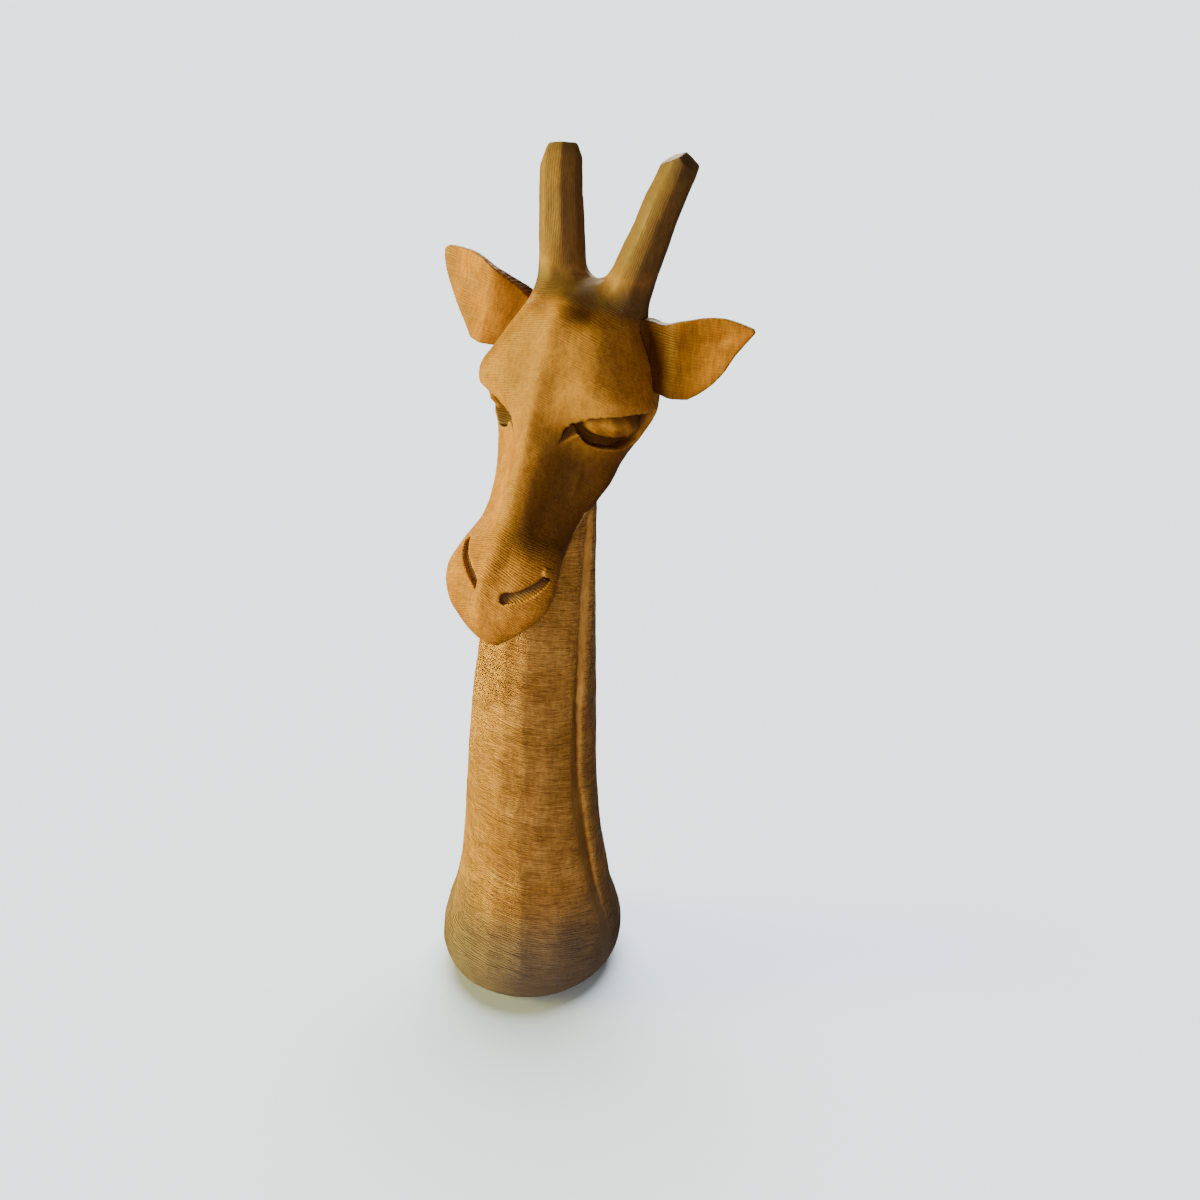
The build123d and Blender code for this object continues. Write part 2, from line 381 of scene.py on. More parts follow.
# Height, half width, middle in y.
NECK_SECTIONS = [
    (0, 52, 3), (6, 59, 3), (16, 65, 3), (34, 67.5, 2), (52, 64, 1.5), (70, 59, 1), (95, 54.5, -1),
    (120, 51, -3), (170, 47, -6), (230, 44.5, -8), (300, 40, -5), (360, 36.5, -3), (420, 34, -1),
    (470, 30, 2),
]
NECK_DEPTH = 1.12             # the neck is this much deeper than it is wide
# The groove along each side, by height: its front edge, its deepest line and its rear edge in
# degrees round from straight out to the side, and its depth.
GROOVE_ROWS = [
    (60, -2, 9, 10.5, 2.0), (106, -6, 7, 8.5, 2.6), (125, -9, 6.5, 8, 2.8), (165, -14, 2.5, 4, 2.8),
    (200, -16, -2.5, -1, 3.0), (245, -14, -3, 0.5, 3.8), (300, -8, -2, 7, 4.0),
    (340, -5, -2, 12, 4.0), (370, 0, 3, 15.5, 4.0), (400, 4.5, 7.5, 19.5, 4.0),
    (440, 12, 15, 27, 4.0),
]


def neck_polar(x, y, z):
    rows = np.array(NECK_SECTIONS, float)
    section = curve_through(rows[:, 0], rows[:, 1:], z)
    half = section[..., 0]
    rel = (y - section[..., 1]) / NECK_DEPTH
    return half, np.hypot(x, rel), np.degrees(np.arctan2(rel, np.abs(x))), rel


NECK_FLAT_COUNT = 15
NECK_FLAT_REACH = 0.984       # as a share of the neck's half width
NECK_FLAT_UNEVEN = 0.012
NECK_FLAT_WANDER = 0.15


def neck_flats():
    """Broad uneven flats round the neck: for each, its direction, and how its reach and its
    direction change up the neck."""
    rng = np.random.default_rng(5)
    flats = []
    for number in range(NECK_FLAT_COUNT):
        angle = 2 * math.pi * (number + rng.uniform(-0.22, 0.22)) / NECK_FLAT_COUNT
        levels = np.concatenate([[0], np.cumsum(rng.uniform(35, 80, 12))])
        flats.append((angle, levels, rng.uniform(-1, 1, 13), rng.uniform(-1, 1, 13)))
    return flats


NECK_FLATS = neck_flats()
MANE_PROUD = 1.2
NECK_TOP = 465                # the stem ends inside the head: at this height,
NECK_BEHIND_FACE = 36         # and this far behind the line of the face


def groove_at(z):
    rows = np.array(GROOVE_ROWS, float)
    return np.moveaxis(curve_through(rows[:, 0], rows[:, 1:], z), -1, 0)


def neck_field(x, y, z):
    """The neck before its joint is cut: an oval stem with soft flats and a groove each side."""
    half, reach, angle, rel = neck_polar(x, y, z)
    gap = (reach - half) * 1.04
    flat_gap = np.full(x.shape, -np.inf)
    for direction, levels, reaches, turns in NECK_FLATS:
        level = NECK_FLAT_REACH + NECK_FLAT_UNEVEN * curve_through(levels, reaches, z)
        facing = direction + NECK_FLAT_WANDER * curve_through(levels, turns, z)
        side = x * np.cos(facing) + rel * np.sin(facing) - half * level
        flat_gap = np.maximum(flat_gap, side)
    gap = soft_max(gap - 0.3, flat_gap - 1.6 * smooth_step(70, 20, z), 1.2)
    front, deepest, rear, depth = groove_at(z)
    cut = np.minimum((angle - front) / (deepest - front), (rear - angle) / (rear - deepest))
    gap = gap + np.clip(cut, 0, 1) * depth * smooth_step(55, 95, z)
    # The band behind the groove is left a little proud, as a mane.
    behind = np.radians(angle - rear) * half
    gap = gap - MANE_PROUD * smooth_step(-1, 4, behind) * smooth_step(60, 120, z)
    _, out = to_face(y, z)
    top = np.maximum(out + NECK_BEHIND_FACE, z - NECK_TOP)
    return np.maximum(np.maximum(gap, -z), top)


# ---- horns ---------------------------------------------------------------------------------

# x, y, z and half thickness of each horn up its middle line.
HORN_LINE = [
    (18, 40, 512, 26), (22, 45, 534, 20.5), (27, 51, 556, 17.3), (35, 60, 588, 15),
    (43.2, 69, 622, 13.8), (46.5, 74.5, 636, 13.4), (49.5, 79, 652, 13),
]
HORN_FLATS = [1.0, 0.97, 1.02, 0.98, 1.0, 0.96, 1.03, 0.98]
HORN_BOTTOM = 510
# How the flats of each horn are set: turn in degrees, and how far and how softly their arrises are
# worn. The left horn is worn nearly round. The right one keeps its arrises above its base.
LEFT_HORN = (14, 1.02, 2.0)
RIGHT_HORN = (38.4, 1.06, 0.8)
HORN_TIP = (50.5, 77, 648.5)
# Directions of the cuts that end the left horn: a steep one outwards, a low one inwards.
HORN_TIP_FLATS = [(0.80, 0.05, 0.60), (-0.50, -0.14, 0.85), (0.1, 0.78, 0.62)]
# The right horn is sawn across on a slope to the back, and its rim is chamfered: the direction of
# each cut and its distance from the middle of the saw cut.
HORN_SAWN = (-45.7, 73.6, 633.6)
HORN_SAWN_FLATS = [
    ((-0.303, 0.392, 0.869), 0.0),
    ((-0.883, -0.308, 0.354), 8.3),
    ((0.646, 0.657, 0.390), 9.3),
]


def horn_shaft(dx, dy, half, turn, wear, reach):
    """Eight flats round a horn, the first at `turn` degrees, with arrises worn towards a circle."""
    gap = np.full(dx.shape, -np.inf)
    for number, flat in enumerate(HORN_FLATS):
        angle = math.radians(45 * number + turn)
        side = dx * math.cos(angle) + dy * math.sin(angle) - flat * half
        gap = np.maximum(gap, side)
    return soft_max(gap, np.hypot(dx, dy) - half * wear, reach) * 0.93


def horn_field(x, y, z):
    line = np.array(HORN_LINE, float)
    at = curve_through(line[:, 2], line[:, (0, 1, 3)], z)
    dx = np.abs(x) - at[..., 0]
    dy = y - at[..., 1]
    half = at[..., 2]
    gap = horn_shaft(dx, dy, half, *LEFT_HORN)
    sharp = horn_shaft(dx, dy, half, *RIGHT_HORN)
    gap = np.where(x < 0, gap + (sharp - gap) * smooth_step(556, 590, z), gap)
    left = gap
    for a, b, c in HORN_TIP_FLATS:
        size = math.sqrt(a * a + b * b + c * c)
        tip = ((x - HORN_TIP[0]) * a + (y - HORN_TIP[1]) * b + (z - HORN_TIP[2]) * c) / size
        left = soft_max(left, tip, 0.8)
    right = gap
    for (a, b, c), distance in HORN_SAWN_FLATS:
        cut = (x - HORN_SAWN[0]) * a + (y - HORN_SAWN[1]) * b + (z - HORN_SAWN[2]) * c
        right = soft_max(right, cut - distance, 0.8)
    return np.maximum(np.where(x < 0, right, left), HORN_BOTTOM - z)


# ---- ears ----------------------------------------------------------------------------------

EAR_MIDDLE = np.array((68, 24, 505.0))
EAR_OUT = np.array((0.32, -1.0, 0.2)) / math.sqrt(0.32**2 + 1 + 0.2**2)
EAR_ALONG = np.array((1, 0.32, 0)) / math.sqrt(1 + 0.32**2)
EAR_UP = np.cross(EAR_OUT, EAR_ALONG)
EAR_OUTLINES = {
    1: smooth_outline([
        [(-34, 36), (-12, 38), (0, 38.5), (14, 43.5), (30, 48.5), (47, 49), (62, 45.5)],
        [(62, 45.5), (63.5, 43)],
        [(63.5, 43), (59, 36.5), (52, 26), (43, 10), (33, -1), (23, -8)],
        [(23, -8), (12, -9), (0, -8), (-34, -8)],
        [(-34, -8), (-34, 36)],
    ]),
    -1: smooth_outline([
        [(-34, 20), (-20, 26), (-4, 37), (10, 44.5), (28, 49), (47, 49), (62, 46.5)],
        [(62, 46.5), (66.5, 43), (66, 38)],
        [(66, 38), (61, 28), (50, 16), (39, 6), (27, -4), (22, -9)],
        [(22, -9), (11, -10), (-3, -8), (-34, -8)],
        [(-34, -8), (-34, 20)],
    ]),
}
EAR_BEND = 18.0              # how far the root curves back
EAR_HOLLOW = 2.6
EAR_RIM = 4.2                # thickness at the rim, then how much the middle and the root add
EAR_SWELL = 3.0
EAR_ROOT_SWELL = 9.0


def ear_local(x, y, z):
    p = np.stack([np.abs(x), y, z], -1).reshape(-1, 3) - EAR_MIDDLE
    along = p @ EAR_ALONG
    return along, p @ EAR_UP, p @ EAR_OUT + EAR_BEND * smooth_step(15, -17, along)


def ear_field(x, y, z, side):
    """A leaf with a faintly hollow front, a thin rim, and a root that thickens and bends back."""
    along, up, out = ear_local(x, y, z)
    edge = outline_distance(np.stack([along, up], 1), EAR_OUTLINES[side])
    front = -EAR_HOLLOW * smooth_step(1, 18, -edge) * smooth_step(-26, 12, along)
    root = smooth_step(26, -14, along)
    back = -(EAR_RIM + EAR_SWELL * smooth_step(0, 20, -edge) + EAR_ROOT_SWELL * root)
    gap = np.maximum(out - front, back - out)
    return np.maximum(gap, edge).reshape(x.shape)


# ---- joint, dowels and pins ----------------------------------------------------------------

SEAT_LEVEL = 412.0
SEAT_FRONT = -10.0
SEAM_LAP = 0.35              # the two carved faces lap by this much, so that no light shows
BORE_PLAY = 0.3              # round the dowels, and past each end of them
BORE_END = 1


def above_seat(y, z):
    """Above zero where the head is, below zero where the neck is."""
    level = z - SEAT_LEVEL
    slope = -(y - SEAT_FRONT) * math.cos(FACE_TILT) - (SEAT_LEVEL - z) * math.sin(FACE_TILT)
    return np.maximum(level, slope)


def bore_field(x, y, z):
    """The bores of the two neck dowels, from the sizes of the dowels in the frame."""
    gap = np.full(x.shape, np.inf)
    for node in ("neck_dowel_front", "neck_dowel_rear"):
        low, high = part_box(node)
        middle = (low + high) / (2 * MM)
        half = (high - low) / (2 * MM)
        side = np.hypot(x, y - middle.y) - half.x - BORE_PLAY
        end = np.abs(z - middle.z) - half.z - BORE_END
        gap = np.minimum(gap, np.maximum(side, end))
    return gap


# ---- eyes and nostrils ---------------------------------------------------------------------

EYE_MIDDLE = np.array((43, 11.3, 467.7))
EYE_OUT = np.array((0.914, -0.401, -0.052))
EYE_ALONG = np.array((0.402, 0.916, -0.001))
EYE_UP = np.array((0.048, -0.02, 0.999))
# Outlines in the plane of the eye: along it towards the ear, and up.
EYE_OPENING = smooth_outline([
    [(-24.4, 10.3), (-20, 15.4), (-13.7, 18.8), (-1, 20.3), (11, 18.7), (21.5, 16.3), (30.5, 16)],
    [(30.5, 16), (29.5, 8), (25.5, 0), (20.2, -6), (14.6, -9.8), (6.5, -10.8), (-2, -10.6),
     (-11, -9.6), (-17.4, -6.8), (-22.2, -0.6), (-23.8, 5)],
    [(-23.8, 5), (-24.4, 10.3)],
])
EYE_SPIKE = smooth_outline([
    [(-34.8, -11.5), (-32, -2.5), (-29.9, 4.6), (-27.8, 8), (-24.4, 10.3)],
    [(-24.4, 10.3), (-22.6, -0.3)],
    [(-22.6, -0.3), (-29, -5.6), (-34.8, -11.5)],
])
EYE_BALL = smooth_outline([
    [(-24, 14), (-22.5, 9), (-20, 4.5), (-15.7, 0.6), (-9, -1.8), (0, -2.2), (9, -3.2), (14, -3)],
    [(14, -3), (19, 3), (23, 10), (25, 20)],
    [(25, 20), (0, 24), (-24, 14)],
])
EYE_DEPTH = 8.0
EYE_RIDGE_DEPTH = 1.6        # from the skin to the ridge across the eyeball
SPIKE_SLOPE = 1.15
BROW_PROUD = 1.8
# The right eye is lower, shallower towards the ear, and its ball is further back.
RIGHT_EYE_DROP = 7.0
RIGHT_BALL_BACK = 14.0
RIGHT_BROW_PROUD = 0.3

NOSTRIL_MIDDLE = np.array((24.2, -69.5, 364.8))
NOSTRIL_OUT = np.array((0.254, -0.824, 0.507))
NOSTRIL_ALONG = np.array((0.881, 0.413, 0.23))
NOSTRIL_UP = np.array((-0.399, 0.388, 0.831))
NOSTRIL_OUTLINES = {
    1: smooth_outline([
        [(-8.3, 4), (-5.7, 5), (1.7, 4.7), (9.9, 7), (17.7, 10.7), (23, 15)],
        [(23, 15), (26, 13)],
        [(26, 13), (22, 6.5), (15, 1.4), (7.9, -1.4), (-1.3, -2.4), (-7.8, -2.8)],
        [(-7.8, -2.8), (-9.3, -0.8), (-8.3, 4)],
    ]),
    -1: smooth_outline([
        [(15, 28), (8, 23.6), (2.7, 21.1), (-3, 19.1), (-8.6, 17.4), (-16, 16), (-21.6, 14.8)],
        [(-21.6, 14.8), (-25, 9)],
        [(-25, 9), (-18.4, 9.9), (-11.4, 11.2), (-5.8, 12.6), (0, 14.3), (7, 17), (15, 22)],
        [(15, 22), (15, 28)],
    ]),
}
# The lower lip of each nostril: where it starts, how high, and how much it curls up.
NOSTRIL_LOWER = {1: (-6, -2.6, 0.0138), -1: (-25, 9.0, 0.0070)}
KNOB = (24.6, 15.9, -0.2)    # along and up in the nostril's plane, and out of the skin
KNOB_RADIUS = 3.5


def in_plane(x, y, z, middle, along, up, out):
    p = np.stack([np.abs(x), y, z], -1) - middle
    return p @ along, p @ up, p @ out


def eye_cut(skin, x, y, z):
    """Carves an eye into the skin (a field): a deep crescent round a flat-cut eyeball, under a
    brow that is left proud, with a notch running in towards the nose."""
    a, b, o = in_plane(x, y, z, EYE_MIDDLE, EYE_ALONG, EYE_UP, EYE_OUT)
    right = x < 0
    level = b
    b = np.where(right, b + RIGHT_EYE_DROP, b)
    flat = np.stack([a, b], 1)
    lid = 19.5 - 0.011 * (a + 1) ** 2
    brow = np.exp(-((b - lid - 5) / 6) ** 2) * smooth_step(-30, -14, a) * smooth_step(38, 24, a)
    brow = brow * smooth_step(-30, -16, o)
    skin = skin - np.where(right, RIGHT_BROW_PROUD, BROW_PROUD) * brow
    opening = outline_distance(flat, EYE_OPENING)
    ball_flat = np.stack([a - np.where(right, RIGHT_BALL_BACK, 0), b], 1)
    ball = outline_distance(ball_flat, EYE_BALL)
    spike = outline_distance(flat, EYE_SPIKE)
    # The eyeball's flats: a lower one that looks down, and an upper one sunk under the lid.
    ridge = 8.0 - 0.012 * np.maximum(a + 8, 0) ** 2
    face = EYE_RIDGE_DEPTH + np.where(b < ridge, 0.24 * (ridge - b), 0.40 * (b - ridge))
    face = face + 0.10 * np.maximum(a - 4, 0) + 0.05 * np.maximum(-14 - a, 0)
    face = face + 0.35 * np.sin(0.6 * a + 0.25 * b)
    depth = np.maximum(np.minimum(face, EYE_DEPTH), EYE_DEPTH + 2.6 * np.minimum(ball, 0))
    depth = np.where(ball > 0, EYE_DEPTH, depth)
    # The socket's outer wall slopes up to the edge of the head.
    depth = np.minimum(depth, 0.3 + 1.0 * np.maximum(24.5 + 0.5 * b - a, 0))
    shallow = np.maximum(0.45 * (level + 10), np.maximum(1.3 * (-3 - a), 0))
    depth = np.where(right, np.minimum(depth, shallow), depth)
    hole = np.maximum(opening, -(skin + depth))
    notch = -(skin + SPIKE_SLOPE * (0.744 * (b + 11.5) - 0.669 * (a + 34.8)))
    return np.maximum(np.maximum(skin, -hole), -np.maximum(spike, notch))


def nostril_cut(skin, x, y, z):
    """Carves a nostril: a slot with a steep upper wall and a floor that rises to its lower lip. A
    small knob is left at the outer end of the left one."""
    a, b, _ = in_plane(x, y, z, NOSTRIL_MIDDLE, NOSTRIL_ALONG, NOSTRIL_UP, NOSTRIL_OUT)
    flat = np.stack([a, b], 1)
    result = skin.copy()
    for side in (-1, 1):
        here = x * side > -6
        slot = outline_distance(flat[here], NOSTRIL_OUTLINES[side])
        start, level, curl = NOSTRIL_LOWER[side]
        lower = level + curl * np.maximum(a[here] - start, 0) ** 2
        depth = 3.0 + 0.5 * np.clip(b[here] - lower, 0, 12)
        cut = np.maximum(slot, -(skin[here] + depth))
        cut = np.where(x[here] * side > 0, cut, 9)
        result[here] = np.maximum(result[here], -cut)
    knob = np.sqrt((a - KNOB[0]) ** 2 + (b - KNOB[1]) ** 2 + (skin - KNOB[2]) ** 2)
    knob = knob - KNOB_RADIUS
    return np.where(x > 0, soft_min(result, knob, 0.6), result)


def carve_near(field, cut, middle, reach, x, y, z):
    """Carves a feature into the field, working only near the feature's middle."""
    near = (np.abs(np.abs(x) - middle[0]) < reach) & (np.abs(y - middle[1]) < reach)
    near &= (np.abs(z - middle[2]) < reach) & (np.abs(field) < 14)
    if near.any():
        field[near] = cut(field[near], x[near], y[near], z[near])
    return field


def ear_pocket(skin, x, y, z):
    """Takes the root of each ear out of the head."""
    for side in (-1, 1):
        here = x * side > 0
        skin[here] = np.maximum(skin[here], -ear_field(x[here], y[here], z[here], side))
    return skin


# ---- the carved pieces ---------------------------------------------------------------------


def carved_field(x, y, z):
    """Neck, face and horns as one carved shape, before the joint is sawn."""
    face = face_field(x, y, z)
    neck = neck_field(x, y, z)
    field = soft_min(face, neck, 2.5)
    if z.max() > 505:
        field = np.where(z > 505, soft_min(field, horn_field(x, y, z), 9.0), field)
    return field


def head_field(x, y, z):
    field = carved_field(x, y, z)
    field = carve_near(field, eye_cut, EYE_MIDDLE, 50, x, y, z)
    field = carve_near(field, nostril_cut, NOSTRIL_MIDDLE, 38, x, y, z)
    field = carve_near(field, ear_pocket, EAR_MIDDLE + (-16, 14, 15), 48, x, y, z)
    field = np.maximum(field, -above_seat(y, z) - SEAM_LAP)
    if z.min() < 460:
        field = np.maximum(field, -bore_field(x, y, z))
    return field


def neck_piece_field(x, y, z):
    field = carved_field(x, y, z)
    field = np.maximum(field, above_seat(y, z) - SEAM_LAP)
    return np.maximum(field, -bore_field(x, y, z))


# ---- materials -----------------------------------------------------------------------------

WAVE_PERIOD = 0.314           # length of one wave of Blender's bands at a scale of 1


def wood(name, light, dark, stroke_scale, stroke_share, stroke_depth, fibre_stretch,
         furrow_spacing=0.0018):
    """Carved wood: grain and colour variation through the solid, tool strokes over the surface.
    Lengths are in metres, scales in features to the metre, and each pair of colours is dark then
    light, or a tint and white where it multiplies the colour below."""
    material = bpy.data.materials.new(name)
    material.use_nodes = True
    tree = material.node_tree
    nodes = tree.nodes
    links = tree.links
    shader = nodes["Principled BSDF"]
    shader.inputs["Specular IOR Level"].default_value = 0.25
    shader.inputs["Specular Tint"].default_value = (1.0, 0.8, 0.5, 1)

    where = nodes.new("ShaderNodeTexCoord").outputs["Object"]

    def attribute(label, output):
        node = nodes.new("ShaderNodeAttribute")
        node.attribute_name = label
        return node.outputs[output]

    def noise(source, scale, detail, rough, stretch=(1, 1, 1), warp=0.0):
        mapping = nodes.new("ShaderNodeMapping")
        mapping.inputs["Scale"].default_value = stretch
        links.new(source, mapping.inputs["Vector"])
        texture = nodes.new("ShaderNodeTexNoise")
        texture.inputs["Scale"].default_value = scale
        texture.inputs["Detail"].default_value = detail
        texture.inputs["Roughness"].default_value = rough
        texture.inputs["Distortion"].default_value = warp
        links.new(mapping.outputs["Vector"], texture.inputs["Vector"])
        return texture.outputs["Fac"]

    def ramp(source, low, high, first, second):
        node = nodes.new("ShaderNodeValToRGB")
        node.color_ramp.elements[0].position = low
        node.color_ramp.elements[1].position = high
        node.color_ramp.elements[0].color = (*first, 1)
        node.color_ramp.elements[1].color = (*second, 1)
        links.new(source, node.inputs["Fac"])
        return node.outputs["Color"]

    def mix(kind, first, second, amount):
        node = nodes.new("ShaderNodeMix")
        node.data_type = "RGBA"
        node.blend_type = kind
        links.new(first, node.inputs["A"])
        if isinstance(second, tuple):
            node.inputs["B"].default_value = (*second, 1)
        else:
            links.new(second, node.inputs["B"])
        if isinstance(amount, float):
            node.inputs["Factor"].default_value = amount
        else:
            links.new(amount, node.inputs["Factor"])
        return node.outputs["Result"]

    def bump(height, distance, below=None, strength=None):
        node = nodes.new("ShaderNodeBump")
        node.inputs["Strength"].default_value = 1.0
        if strength:
            links.new(strength, node.inputs["Strength"])
        node.inputs["Distance"].default_value = distance
        links.new(height, node.inputs["Height"])
        if below:
            links.new(below, node.inputs["Normal"])
        return node.outputs["Normal"]

    def share_of(source, share):
        node = nodes.new("ShaderNodeMath")
        node.operation = "MULTIPLY"
        node.inputs[1].default_value = share
        links.new(source, node.inputs[0])
        return node.outputs["Value"]

    def furrows(source, spacing):
        """Parallel furrows across the second axis, which wander a little and break up."""
        mapping = nodes.new("ShaderNodeMapping")
        mapping.inputs["Scale"].default_value = (0.3, 1, 0.3)
        links.new(source, mapping.inputs["Vector"])
        texture = nodes.new("ShaderNodeTexWave")
        texture.bands_direction = "Y"
        texture.inputs["Scale"].default_value = WAVE_PERIOD / spacing
        texture.inputs["Distortion"].default_value = 7.0
        texture.inputs["Detail"].default_value = 2.0
        texture.inputs["Detail Scale"].default_value = 0.9
        texture.inputs["Detail Roughness"].default_value = 0.6
        links.new(mapping.outputs["Vector"], texture.inputs["Vector"])
        return texture.outputs["Fac"]

    white = (1, 1, 1)
    stroke = attribute("stroke", "Vector")
    marks = attribute("marks", "Fac")
    tone = nodes.new("ShaderNodeSeparateXYZ")
    links.new(attribute("tone", "Vector"), tone.inputs["Vector"])

    # Growth figure: slow bands up the log, and cloudy patches where the wax has sunk in.
    colour = ramp(noise(where, 30, 4, 0.6, (1, 1, 0.2), 0.6), 0.34, 0.66, dark, light)
    patches = noise(where, 38, 3, 0.55)
    colour = mix("MULTIPLY", colour, ramp(patches, 0.42, 0.62, (0.66, 0.56, 0.40), white), 0.6)
    # Strokes of the blade: furrows and short dark nicks in the direction of the cut.
    strokes = noise(stroke, 1, 3, 0.62, stroke_scale, 0.25)
    fine = furrows(stroke, furrow_spacing)
    nicked = share_of(marks, stroke_share)
    colour = mix("MULTIPLY", colour, ramp(strokes, 0.34, 0.52, (0.52, 0.38, 0.22), white), nicked)
    colour = mix("MULTIPLY", colour, ramp(fine, 0.05, 0.6, (0.66, 0.54, 0.38), white), nicked)
    # Fibres and pores.
    fibres = noise(where, 420, 3, 0.65, fibre_stretch)
    colour = mix("MULTIPLY", colour, ramp(fibres, 0.36, 0.58, (0.66, 0.56, 0.42), white), 0.6)
    # Stain on the crown, darker horns, painted light over the face, a warm dark tint, grey on the
    # foot, painted shade in the hollows and wear on the edges.
    # Tone X darkens the crown, the horns and the upper face; the face is left lighter in places as
    # painted light, and the right eye's low corner is painted shade.
    colour = mix("MULTIPLY", colour, (0.29, 0.30, 0.27), tone.outputs["X"])
    # Tone Z is a warm dark tint: painted shade on the head and in the neck's groove, painted shadow
    # on the ear roots, and the ears' own darker edges.
    colour = mix("MULTIPLY", colour, (0.26, 0.18, 0.09), tone.outputs["Z"])
    # Tone Y greys the foot, mane and crown, and is painted shade in the nostrils.
    colour = mix("MIX", colour, (0.125, 0.106, 0.088), tone.outputs["Y"])
    hollow = attribute("hollow", "Fac")
    # Painted shade: the colour darkens wherever the surface is hollow.
    colour = mix("MULTIPLY", colour, ramp(hollow, 0.05, 0.8, white, (0.36, 0.22, 0.10)), 0.8)
    edges = ramp(share_of(hollow, -1.0), 0.15, 0.9, (0, 0, 0), white)
    colour = mix("SOFT_LIGHT", colour, edges, 0.35)
    links.new(colour, shader.inputs["Base Color"])

    rough = nodes.new("ShaderNodeMapRange")
    rough.inputs["From Min"].default_value = 0.35
    rough.inputs["From Max"].default_value = 0.65
    rough.inputs["To Min"].default_value = 0.46
    rough.inputs["To Max"].default_value = 0.68
    links.new(patches, rough.inputs["Value"])
    links.new(rough.outputs["Result"], shader.inputs["Roughness"])
    relief = bump(strokes, stroke_depth, None, marks)
    relief = bump(fine, stroke_depth * 0.7, relief, marks)
    relief = bump(fibres, 0.00012, relief)
    links.new(relief, shader.inputs["Normal"])
    return material


HEAD_WOOD = wood("head_wood", (0.72, 0.355, 0.070), (0.56, 0.262, 0.040), (190, 800, 190), 0.35,
                 0.0006, (1, 1, 0.4), 0.0016)
NECK_WOOD = wood("neck_wood", (0.72, 0.40, 0.105), (0.57, 0.305, 0.072), (75, 620, 75), 0.60,
                 0.0009, (1, 1, 0.3))
EAR_WOOD = wood("ear_wood", (0.64, 0.292, 0.020), (0.44, 0.178, 0.008), (620, 95, 200), 0.55,
                0.0003, (1, 1, 0.15))
DOWEL_WOOD = wood("dowel_wood", (0.60, 0.42, 0.20), (0.48, 0.31, 0.13), (300, 300, 300), 0.2,
                  0.0001, (1, 1, 0.1))


# ---- strokes, tones and tool marks over the pieces -----------------------------------------

# An angle round the neck or the face, in radians, times this is a length across it.
NECK_GIRTH = 46
FACE_GIRTH = 45
FACE_AXIS = 48               # the middle line of the face is this far behind the ridge
HORN_ROOT = 558.0            # the tool marks turn from across the head to along the horns here


def neck_strokes(points):
    """Round the neck and up it. The strokes fall towards the mane on the left and rise towards it
    on the right."""
    _, reach, _, rel = neck_polar(*points.T)
    turn = np.arctan2(rel, np.abs(points[:, 0])) + math.pi / 2
    across = turn * NECK_GIRTH
    slope = np.where(points[:, 0] > 0, 0.18, -0.06)
    height = points[:, 2] + slope * across + 5 * lattice_noise(points, 60, 8)
    return np.stack([across * np.sign(points[:, 0]), height, reach], 1)


def neck_tone(points):
    """Grey on the foot and a little on the mane, and painted shade in the groove. In the order of
    the tone attribute: darkening, grey, warm."""
    _, _, angle, _ = neck_polar(*points.T)
    front, deepest, rear, _ = groove_at(points[:, 2])
    foot = 0.80 * smooth_step(118, 30, points[:, 2] + 14 * lattice_noise(points, 30, 9))
    mane = 0.14 * smooth_step(rear - 1, rear + 3, angle)
    # Painted shade: the groove's slope in front of its deepest line, which faces away from the key
    # light, is darkened.
    slope = smooth_step(front - 1, front + 2, angle) * smooth_step(deepest + 1, deepest - 1, angle)
    return np.stack([np.zeros(len(points)), np.maximum(foot, mane), 0.5 * slope], 1)


def neck_marks(points):
    """Tool marks everywhere but in the groove."""
    _, _, angle, _ = neck_polar(*points.T)
    front, _, rear, _ = groove_at(points[:, 2])
    inside = smooth_step(front - 1, front + 2, angle) * smooth_step(rear + 1, rear - 2, angle)
    return 1.0 - 0.85 * inside


def head_strokes(points):
    """Round the face and down it, and up the horns."""
    x, y, z = points.T
    along, out = to_face(y, z)
    across = FACE_GIRTH * np.arctan2(np.abs(x), out + FACE_AXIS)
    down = along - 0.25 * across + 6 * lattice_noise(points, 45, 8)
    face = np.stack([across * np.sign(x), down, np.hypot(x, out + FACE_AXIS)], 1)
    line = np.array(HORN_LINE, float)
    middle_x, middle_y, half = curve_through(line[:, 2], line[:, (0, 1, 3)], z).T
    round_horn = half * np.arctan2(np.abs(x) - middle_x, middle_y - y)
    horn = np.stack([z, round_horn + 0.05 * z, half], 1)
    return np.where((z > HORN_ROOT)[:, None], horn, face)


def skull_share(out, z):
    """1 on the back of the skull, down to the joint with the neck, and 0 on the face."""
    return smooth_step(-60, -80, out) * smooth_step(470, 430, z)


